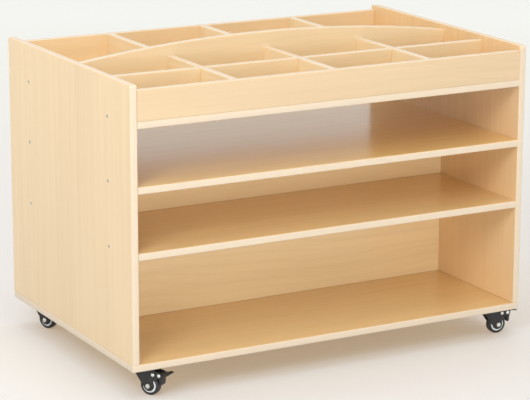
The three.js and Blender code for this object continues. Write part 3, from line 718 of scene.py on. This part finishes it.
def add_boards():
    add_board("base_board", MAPLE_SHELF, FLAT, ALONG_A, base_outline)
    for side in ("left", "right"):
        node = f"{side}_side_panel"
        add_board(node, MAPLE_CASE, FACING_SIDE, ALONG_B, side_outline, lambda: screw_holes(side))
    add_board("lower_shelf", MAPLE_SHELF, FLAT, ALONG_A, shelf_outline)
    add_board("upper_shelf", MAPLE_TOP_SHELF, FLAT, ALONG_A, shelf_outline)
    add_board("tray_floor", MAPLE_SHELF, FLAT, ALONG_A, shelf_outline)
    for node in ("lower_centre_panel", "upper_centre_panel"):
        add_board(node, MAPLE_PANEL, FACING_FRONT, ALONG_A, panel_outline)
    add_board("front_rail", MAPLE_RAIL, FACING_FRONT, ALONG_A, rail_outline)
    add_board("back_rail", MAPLE_BACK_RAIL, FACING_FRONT, ALONG_A, rail_outline)
    add_board("arched_divider", MAPLE_TRAY, FACING_FRONT, ALONG_A, arch_outline)
    add_board("long_divider", MAPLE_TRAY, FACING_FRONT, ALONG_A, long_divider_outline)
    for i in (1, 2, 3):
        add_board(f"front_cross_divider_{i}", MAPLE_TRAY, FACING_SIDE, ALONG_A, front_cross_outline)
        add_board(f"rear_cross_divider_{i}", MAPLE_TRAY, FACING_SIDE, ALONG_A, rail_outline)


def connector_screw(length):
    """A turned screw, head just below height zero and shank below it, with a hexagonal socket."""
    socket = hexagon(SCREW_SOCKET, SMALL_TURN_STEPS)
    floor = -SCREW_SINK - SCREW_SOCKET_DEPTH
    neck = -SCREW_SINK - SCREW_HEAD_DEPTH
    rim = 0.4 * MM
    profile = [
        (0, -length),
        (SCREW_SHANK * 0.5, -length),
        (SCREW_SHANK, -length + SCREW_SHANK),
        (SCREW_SHANK, neck - (SCREW_HEAD - SCREW_SHANK)),
        (SCREW_HEAD, neck),
        (SCREW_HEAD, -SCREW_SINK - rim),
        *quarter(SCREW_HEAD - rim, -SCREW_SINK, rim, rim, outwards=False),
        (socket * 1.06, -SCREW_SINK),
        (socket, -SCREW_SINK - 0.2 * MM),
        (socket, floor),
        (0, floor),
    ]
    return turned(profile, SMALL_TURN_STEPS)


def add_screws():
    outwards = {
        "left": np.array([[0, 0, 1], [0, 1, 0], [-1, 0, 0]], float),
        "right": np.array([[0, 0, -1], [0, 1, 0], [1, 0, 0]], float),
    }
    for side, turn in outwards.items():
        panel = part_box(f"{side}_side_panel")
        face = panel[0].x if side == "left" else panel[1].x
        for name, (y, z) in screw_places(side).items():
            low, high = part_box(name)
            screw = moved(connector_screw(high.x - low.x), turn, (face, y, z))
            add_piece(f"finished_{name}", [screw], GREY_ZINC, "cabinet", [name])


# Casters: in a caster's own frame X trails from the kingpin to the axle, Y lies along the axle


class Caster:
    """Where one caster stands: its kingpin, axle and pivot, and row directions of its own frame."""

    def __init__(self, name):
        kingpin = np.array(JOINTS[f"{name}_swivel_turn"]["pos_m"])
        axle = np.array(JOINTS[f"{name}_wheel_spin"]["pos_m"])
        pivot = np.array(JOINTS[f"{name}_brake_press"]["pos_m"])
        trail = (axle - kingpin) * (1, 1, 0)
        self.name = name
        self.foot = kingpin * (1, 1, 0)
        self.trail = np.linalg.norm(trail)
        x = trail / self.trail
        self.turn = np.array([x, np.cross((0, 0, 1), x), (0, 0, 1)])
        self.axle_height = axle[2]
        self.pivot_x = np.linalg.norm((pivot - kingpin)[:2])
        self.pivot_height = pivot[2]
        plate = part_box(f"{name}_caster_plate")
        self.plate_top = plate[1].z
        self.race_bottom = plate[0].z
        self.crown_top = self.race_bottom - SWIVEL_GAP

    def set(self, surface, swivelled=True):
        return moved(surface, self.turn if swivelled else FLAT, self.foot)

    def add(self, node, surfaces, finish, body, slot, replaced=True, swivelled=True):
        placed = [self.set(surface, swivelled) for surface in surfaces]
        nodes = [f"{self.name}_{node}"] if replaced else []
        add_piece(f"finished_{self.name}_{node}", placed, finish, body, nodes)


AXLE_LINE = np.array([[1, 0, 0], [0, 0, -1], [0, 1, 0]], float)
TURNED_OVER = np.array([[1, 0, 0], [0, -1, 0], [0, 0, -1]], float)


def about_axle(surface, x, z):
    """A turned surface laid with its axis along the axle at (x, z)."""
    return moved(surface, AXLE_LINE, (x, 0, z))


def plate_hole_places():
    """Middles of the four screw holes of a caster plate."""
    x, y = np.array(PLATE_SIZE) / 2 - PLATE_HOLE_EDGE
    return [(across * x, along * y) for across in (-1, 1) for along in (-1, 1)]


def plate_surfaces(caster):
    """The plate with its four screw holes, and the round upper race under it."""
    half = np.array(PLATE_SIZE) / 2
    holes = [round_hole(place, PLATE_HOLE, HOLE_EASE) for place in plate_hole_places()]
    shape = rounded_box_outline(-half, half, PLATE_CORNER, STEEL_EASE)
    sheet = moved(eased_plate(shape, SHEET, holes), shift=(0, 0, caster.plate_top - SHEET / 2))
    top = caster.plate_top - SHEET
    bore = KINGPIN_RADIUS + RUNNING_FIT
    lip = 2.2 * MM
    neck = 0.6 * MM
    race = turned(
        [
            (bore, top),
            (bore, caster.race_bottom),
            *quarter(RACE_RADIUS, caster.race_bottom + lip, lip, lip),
            *quarter(RACE_RADIUS - neck, top - neck, neck, neck, outwards=False),
            (RACE_RADIUS - neck, top),
            (bore, top),
        ]
    )
    return [sheet, race]


def kingpin_surface(caster):
    """A rivet with a domed head under the fork and its shank up through the plate."""
    head_top = caster.crown_top - CROWN_THICKNESS - SWIVEL_GAP
    rise = 3 * MM
    radius = np.linspace(0, KINGPIN_HEAD, 9)
    dome = zip(radius, head_top - rise + (radius / KINGPIN_HEAD) ** 2 * rise * 0.6)
    shank = [
        (KINGPIN_HEAD, head_top),
        (KINGPIN_RADIUS, head_top),
        (KINGPIN_RADIUS, caster.plate_top),
        (0, caster.plate_top),
    ]
    return turned([*dome, *shank], SMALL_TURN_STEPS)


def leg_outline(caster):
    """One leg of the fork from the side: slanted leading edge, round foot at the axle, waist, and the
    horn behind that carries the brake rivets; its top edge meets the bend of the roof."""
    bend = caster.crown_top - BEND_RADIUS
    top = caster.crown_top - ROOF_DROP
    knee = np.array([LEG_LEADING, caster.crown_top - CROWN_THICKNESS])
    foot = np.array([caster.trail, caster.axle_height])
    away = knee - foot
    swing = math.acos(FOOT_RADIUS / np.linalg.norm(away))
    tangent = math.degrees(math.atan2(away[1], away[0]) + swing)
    horn = np.array([caster.pivot_x, caster.pivot_height])
    roof_end = roof_end_of(caster)
    waist = [
        (caster.trail + FOOT_RADIUS, caster.axle_height),
        (caster.trail + LEG_WAIST, horn[1] - HORN_DEPTH),
        horn - (0, HORN_RADIUS),
    ]
    return outline(
        ([LEG_LEADING, bend], STEEL_EASE),
        (knee, STEEL_EASE),
        (arc(foot, FOOT_RADIUS, tangent, 360, 28), STEEL_EASE),
        (smooth_path(waist, 6 * MM, 8)[1:-1], STEEL_EASE),
        (arc(horn, HORN_RADIUS, -90, 90, 20), STEEL_EASE),
        ([caster.trail + STOP_RIVET_OFFSET, top], STEEL_EASE),
        ([roof_end, top], STEEL_EASE),
        ([roof_end, bend], 0),
    )


def roof_end_of(caster):
    return caster.trail + STOP_RIVET_OFFSET - RIVET_RADIUS


def fork_surfaces(caster):
    """Two pressed legs, the bent roof that joins them before and behind the kingpin, and the round
    dish of the lower race."""
    hole = round_hole((caster.trail, caster.axle_height), AXLE_RADIUS + RUNNING_FIT, HOLE_EASE)
    leg = eased_plate(leg_outline(caster), SHEET, [hole])
    middle = (LEG_INNER + LEG_OUTER) / 2
    legs = [moved(leg, FACING_FRONT, (0, y, 0)) for y in (-middle, middle)]
    bend = caster.crown_top - BEND_RADIUS
    outer = BEND_RADIUS - ROOF_DROP
    inner = outer - SHEET
    right = np.array([LEG_OUTER - outer, bend])
    left = right * (-1, 1)
    roof = outline(
        (arc(right, outer, 0, 90, 8), STEEL_EASE),
        (arc(left, outer, 90, 180, 8)[:-1], STEEL_EASE),
        (left - (outer, 0), 0),
        (arc(left, inner, 180, 90, 8), STEEL_EASE),
        (arc(right, inner, 90, 0, 8)[:-1], STEEL_EASE),
        (right + (inner, 0), 0),
    )
    roof_end = roof_end_of(caster)
    bore = KINGPIN_RADIUS + RUNNING_FIT
    saddles = [
        moved(eased_plate(roof, end - start), FACING_SIDE, ((start + end) / 2, 0, 0))
        for start, end in ((LEG_LEADING, -bore), (bore, roof_end))
    ]
    bottom = caster.crown_top - CROWN_THICKNESS
    lip = 1.6 * MM
    dish = turned(
        [
            (bore, caster.crown_top),
            (bore, bottom),
            (CROWN_RADIUS - 3 * lip, bottom),
            *quarter(CROWN_RADIUS, bottom + 2 * lip, lip, lip),
            *quarter(CROWN_RADIUS - lip, caster.crown_top, lip, lip, outwards=False),
            (bore, caster.crown_top),
        ]
    )
    return [*legs, *saddles, dish]


def rivet_surfaces(caster):
    """Domed bright heads of the two brake rivets on the outside of both legs, each with a dimple."""
    a = np.linspace(0, math.acos(RIVET_DIMPLE / RIVET_RADIUS), 9)
    dome = zip(RIVET_RADIUS * np.cos(a), RIVET_HEIGHT * np.sin(a))
    dimple = [(RIVET_DIMPLE * 0.7, RIVET_HEIGHT * 0.6), (0, RIVET_HEIGHT * 0.5)]
    back = -0.3 * MM
    head = turned([(0, back), (RIVET_RADIUS, back), *dome, *dimple], SMALL_TURN_STEPS)
    heads = [moved(head, shift=(0, 0, LEG_OUTER)), moved(head, TURNED_OVER, (0, 0, -LEG_OUTER))]
    spots = (caster.trail + STOP_RIVET_OFFSET, caster.pivot_x)
    return [about_axle(head, x, caster.pivot_height) for x in spots for head in heads]


def axle_bolt_surface(caster):
    """A bolt across the fork: at each end a hexagon whose radius is the smaller of the hexagon and a
    chamfer cone, then the rounded tip of the thread."""
    steps = 48
    hexa = hexagon(NUT_RADIUS, steps)
    flat = NUT_RADIUS * math.cos(math.pi / 6)
    seat = LEG_OUTER + RUNNING_FIT
    top = seat + NUT_HEIGHT
    out = np.linspace(1, 0, 5) * MM
    chamfer = [(np.minimum(hexa, flat + d), top - (d + 0.05 * MM) * 0.58) for d in out]
    thread_end = top + 0.5 * MM
    a = np.linspace(0.2, 1.5707, 6)
    crown = zip(AXLE_RADIUS * np.cos(a), thread_end + 0.6 * MM * np.sin(a))
    tip = [(AXLE_RADIUS, top), (AXLE_RADIUS, thread_end), *crown]
    upper = [(AXLE_RADIUS, seat), (hexa, seat), *chamfer, *tip]
    lower = [(r, -h) for r, h in reversed(upper)]
    return about_axle(turned([*lower, *upper], steps), caster.trail, caster.axle_height)


def tyre_surface(caster):
    """A ring with rounded shoulders, eased at its bore, with a faint parting line round its tread."""
    radius = caster.axle_height
    bore = HUB_RADIUS + 0.2 * MM
    half = TYRE_WIDTH / 2
    shoulder = TYRE_SHOULDER
    a = np.radians(np.linspace(0, 90, 11))
    lower = [
        (bore, -half + 0.5 * MM),
        (bore + 0.5 * MM, -half),
        (bore + 1.6 * MM, -half),
        *zip(radius - shoulder * (1 - np.sin(a)), -half + shoulder * 0.8 * (1 - np.cos(a))),
        (radius, -0.4 * MM),
        (radius - 0.12 * MM, 0),
    ]
    upper = [(r, -h) for r, h in reversed(lower[:-1])]
    return about_axle(turned([*lower, *upper, lower[0]]), caster.trail, caster.axle_height)


def hub_surface(caster):
    """The pale core of the wheel: a disc on the axle with a rounded ring beside the tyre."""
    half = HUB_WIDTH / 2
    ring = HUB_RADIUS - HUB_RING
    face = half - 2.2 * MM
    soft = 0.7 * MM
    bore = AXLE_RADIUS + RUNNING_FIT
    upper = [
        (HUB_RADIUS, half - soft),
        *quarter(HUB_RADIUS - soft, half, soft, soft, outwards=False),
        (ring + soft, half),
        (ring, half - soft),
        (ring, face),
        (bore, face),
    ]
    lower = [(r, -h) for r, h in reversed(upper)]
    return about_axle(turned([*lower, *upper, lower[0]]), caster.trail, caster.axle_height)


def cover_surface(caster, sign):
    """Black thread guard inside the pale ring: a shallow dish with a raised boss at the axle."""
    half = HUB_WIDTH / 2
    rim = HUB_RADIUS - HUB_RING - 0.3 * MM
    bore = AXLE_RADIUS + 0.4 * MM
    boss = 7 * MM
    boss_top = LEG_INNER - 0.6 * MM
    back = half - 2.1 * MM
    rim_top = half - 0.7 * MM
    soft = 0.5 * MM
    t = np.linspace(0, 1, 9)
    swell = zip(rim - (rim - boss) * t, rim_top + (boss_top - rim_top) * (3 * t**2 - 2 * t**3))
    profile = [
        (bore, back),
        (rim, back),
        *swell,
        (bore + soft, boss_top),
        (bore, boss_top - soft),
        (bore, back),
    ]
    surface = turned(profile)
    surface = surface if sign > 0 else moved(surface, TURNED_OVER)
    return about_axle(surface, caster.trail, caster.axle_height)


def pedal_surfaces(caster):
    """The brake lever: a foot plate that flares to a turned-down lip, a shoe block behind the tyre
    and two ears on the pivot."""
    inner = LEG_INNER - PEDAL_GAP
    horn_end = caster.pivot_x + HORN_RADIUS + PEDAL_GAP
    top = caster.pivot_height + PEDAL_EAR - SHEET / 2
    lip = PEDAL_REACH - PEDAL_LIP
    root, wide = PEDAL_ROOT / 2, PEDAL_WIDTH / 2
    foot_path = smooth_path(
        [
            (caster.pivot_x + SHEET, top, inner),
            (horn_end - SHEET, top, inner),
            (horn_end, top, root),
            (PEDAL_FLARE - PEDAL_LIP / 2, top + PEDAL_TIP_RISE * 0.4, root),
            (PEDAL_FLARE, top + PEDAL_TIP_RISE * 0.6, wide),
            (lip, top + PEDAL_TIP_RISE, wide),
            (PEDAL_REACH - SHEET / 2, top + PEDAL_TIP_RISE - PEDAL_LIP_DROP, wide),
        ],
        PEDAL_BEND,
    )
    foot = carried_bar(foot_path, SHEET, STEEL_EASE)
    shoe_top = caster.pivot_height + PEDAL_EAR - SHEET
    behind = horn_end - SHEET
    tip_x = caster.trail + caster.axle_height + SHOE_CLEARANCE
    tip_z = caster.pivot_height - SHOE_DROP
    block = [
        (behind, shoe_top),
        (behind, caster.pivot_height - HORN_RADIUS),
        (behind - SHOE_PAD, caster.pivot_height - HORN_RADIUS),
        (tip_x, tip_z + SHEET),
        (tip_x + SHEET / 2, tip_z + 0.2 * MM),
        (tip_x + SHOE_BEND + SHEET, tip_z + SHOE_LIP - SHEET / 2),
        (horn_end, caster.pivot_height),
        (horn_end, shoe_top),
    ]
    shoe_shape = outline((smooth_path(block, PEDAL_BEND, 4), HOLE_EASE))
    shoe = eased_plate(shoe_shape, 2 * inner - 0.2 * MM)
    ear_shape = outline(
        ([horn_end - SHEET, caster.pivot_height - PEDAL_EAR], STEEL_EASE),
        ([horn_end - SHEET, top], STEEL_EASE),
        (arc((caster.pivot_x, caster.pivot_height), PEDAL_EAR - 0.2 * MM, 90, 270, 18), STEEL_EASE),
    )
    hole = round_hole((caster.pivot_x, caster.pivot_height), PIVOT_HOLE, HOLE_EASE)
    ear = eased_plate(ear_shape, SHEET, [hole])
    middle = inner - SHEET / 2
    ears = [moved(ear, FACING_FRONT, (0, y, 0)) for y in (-middle, middle)]
    return [foot, moved(shoe, FACING_FRONT), *ears]


def plate_screw_surfaces(caster):
    """Four pan-head wood screws under the plate, each head a shallow dome with a driver recess."""
    top = caster.plate_top - SHEET
    radius, rise, recess = 4.6 * MM, 2.2 * MM, 1.5 * MM
    a = np.linspace(1.1, 0, 7)
    dome = list(zip(radius * np.cos(a), -rise * np.sin(a)))
    crest = dome[0][1] - 0.1 * MM
    slot = hexagon(recess, SCREW_TURN_STEPS)
    slot_floor = -rise * 0.3
    profile = [(0, slot_floor), (slot, slot_floor), (slot, crest), *dome, (0, 0.2 * MM)]
    head = turned(profile, SCREW_TURN_STEPS)
    return [moved(head, shift=(*place, top)) for place in plate_hole_places()]


def add_caster(name):
    caster = Caster(name)
    swivel, wheel, brake = (f"{name}_{part}" for part in ("swivel", "wheel", "brake"))
    dark = (BLACK_COAT, "cabinet", "black_steel")
    bright = (BRIGHT_ZINC, "cabinet", "bright_steel")
    caster.add("caster_plate", plate_surfaces(caster), *dark, swivelled=False)
    caster.add("kingpin", [kingpin_surface(caster)], *bright, swivelled=False)
    screws = plate_screw_surfaces(caster)
    caster.add("plate_screws", screws, *bright, replaced=False, swivelled=False)
    caster.add("fork", fork_surfaces(caster), BLACK_COAT, swivel, "black_steel")
    rivets = rivet_surfaces(caster)
    caster.add("brake_rivets", rivets, BRIGHT_ZINC, swivel, "bright_steel", replaced=False)
    caster.add("axle_bolt", [axle_bolt_surface(caster)], BRIGHT_ZINC, swivel, "bright_steel")
    caster.add("tyre", [tyre_surface(caster)], BLACK_TYRE, wheel, "black_tyre")
    caster.add("wheel_hub", [hub_surface(caster)], PALE_CORE, wheel, "pale_hub")
    guards = [cover_surface(caster, sign) for sign in (-1, 1)]
    caster.add("thread_guards", guards, BLACK_COAT, wheel, "black_steel", replaced=False)
    caster.add("brake_pedal", pedal_surfaces(caster), BLACK_COAT, brake, "black_steel")


# Studio

# Each softbox: name, place, target, side of its square, watts
SOFTBOXES = (
    ("key_softbox", (-3.4, -3.0, 3.0), (0, 0, 0.4), 1.8, 101),
    ("front_softbox", (-1.0, -5.5, 0.75), (0, 0, 0.45), 1.9, 102),
    ("rear_softbox", (-4.4, 2.6, 1.8), (0, 0, 0.4), 2.4, 41),
    ("right_softbox", (4.6, -2.6, 1.6), (0, 0, 0.4), 2.4, 20),
)
FLOOR_REACH = 30.0
SURROUNDING_LIGHT = 0.27
ZENITH_LIGHT = 2.4
ZENITH_POWER = 6.0
LAMP_WHITE = (1, 1, 1, 1)
PAPER_WHITE = (1.0, 0.985, 0.90, 1)
CAMERA_PLACE = (-2.7963, -5.0500, 1.8226)
CAMERA_AZIMUTH = -28.982
CAMERA_ELEVATION = 14.266
CAMERA_ROLL = 0.213
FOCAL_PIXELS = 2277.7
PHOTO_WIDTH = 530
SENSOR_WIDTH = 36.0


def add_floor():
    n = 9
    t = np.linspace(-FLOOR_REACH, FLOOR_REACH, n)
    x, y = np.meshgrid(t, t, indexing="ij")
    points = np.stack([x, y, np.zeros_like(x)], -1).reshape(-1, 3)
    i, j = np.meshgrid(np.arange(n - 1), np.arange(n - 1), indexing="ij")
    corners = [i * n + j, (i + 1) * n + j, (i + 1) * n + j + 1, i * n + j + 1]
    quads = np.stack(corners, -1).reshape(-1, 4)
    mesh = bpy.data.meshes.new("floor")
    mesh.from_pydata(points.tolist(), [], quads.tolist())
    mesh.materials.append(studio_floor())
    floor = bpy.data.objects.new("floor", mesh)
    bpy.context.scene.collection.objects.link(floor)


def add_camera():
    """The camera's back looks along (sin az cos el, -cos az cos el, sin el), and roll turns it about
    that line."""
    azimuth = math.radians(CAMERA_AZIMUTH)
    elevation = math.radians(CAMERA_ELEVATION)
    roll = math.radians(CAMERA_ROLL)
    back = np.array(
        [
            math.sin(azimuth) * math.cos(elevation),
            -math.cos(azimuth) * math.cos(elevation),
            math.sin(elevation),
        ]
    )
    level = np.array([math.cos(azimuth), math.sin(azimuth), 0])
    right = math.cos(roll) * level + math.sin(roll) * np.cross(back, level)
    up = np.cross(back, right)
    lens = bpy.data.cameras.new("camera")
    lens.sensor_fit = "HORIZONTAL"
    lens.sensor_width = SENSOR_WIDTH
    lens.lens = FOCAL_PIXELS / PHOTO_WIDTH * SENSOR_WIDTH
    lens.clip_end = 200
    camera = bpy.data.objects.new("camera", lens)
    matrix = np.eye(4)
    matrix[:3, :3] = np.stack([right, up, back], -1)
    matrix[:3, 3] = CAMERA_PLACE
    camera.matrix_world = Matrix(matrix.tolist())
    bpy.context.scene.collection.objects.link(camera)
    bpy.context.scene.camera = camera


def add_softbox(name, place, target, size, watts):
    """A square area lamp of the given side that faces its target."""
    lamp = bpy.data.lights.new(name, "AREA")
    lamp.shape = "SQUARE"
    lamp.size = size
    lamp.energy = watts
    box = bpy.data.objects.new(name, lamp)
    away = np.array(place, float) - np.array(target, float)
    back = away / np.linalg.norm(away)
    right = np.cross((0, 0, 1), back)
    right /= np.linalg.norm(right)
    matrix = np.eye(4)
    matrix[:3, :3] = np.stack([right, np.cross(back, right), back], -1)
    matrix[:3, 3] = place
    box.matrix_world = Matrix(matrix.tolist())
    bpy.context.scene.collection.objects.link(box)


def add_world():
    """White surroundings that grow brighter towards the zenith, seen as warm white paper."""
    world = bpy.data.worlds.new("studio")
    world.use_nodes = True
    tree = world.node_tree
    background = tree.nodes["Background"]
    direction = add_node(tree, "ShaderNodeTexCoord").outputs["Generated"]
    height = add_node(tree, "ShaderNodeSeparateXYZ", {0: direction}).outputs[2]
    overhead = math_node(tree, "POWER", math_node(tree, "MAXIMUM", height, 0.0), ZENITH_POWER)
    light = math_node(tree, "MULTIPLY_ADD", overhead, ZENITH_LIGHT, SURROUNDING_LIGHT)
    seen = seen_directly(tree)
    colour = blend_colour(tree, seen, LAMP_WHITE, PAPER_WHITE)
    tree.links.new(colour, background.inputs["Color"])
    strength = spread(tree, seen, 0.0, 1.0, light, 1.0)
    tree.links.new(strength, background.inputs["Strength"])
    bpy.context.scene.world = world


add_camera()
add_boards()
add_screws()
for caster_name in CASTERS:
    add_caster(caster_name)
add_floor()
for softbox in SOFTBOXES:
    add_softbox(*softbox)
add_world()
bpy.context.scene.view_settings.view_transform = "Standard"
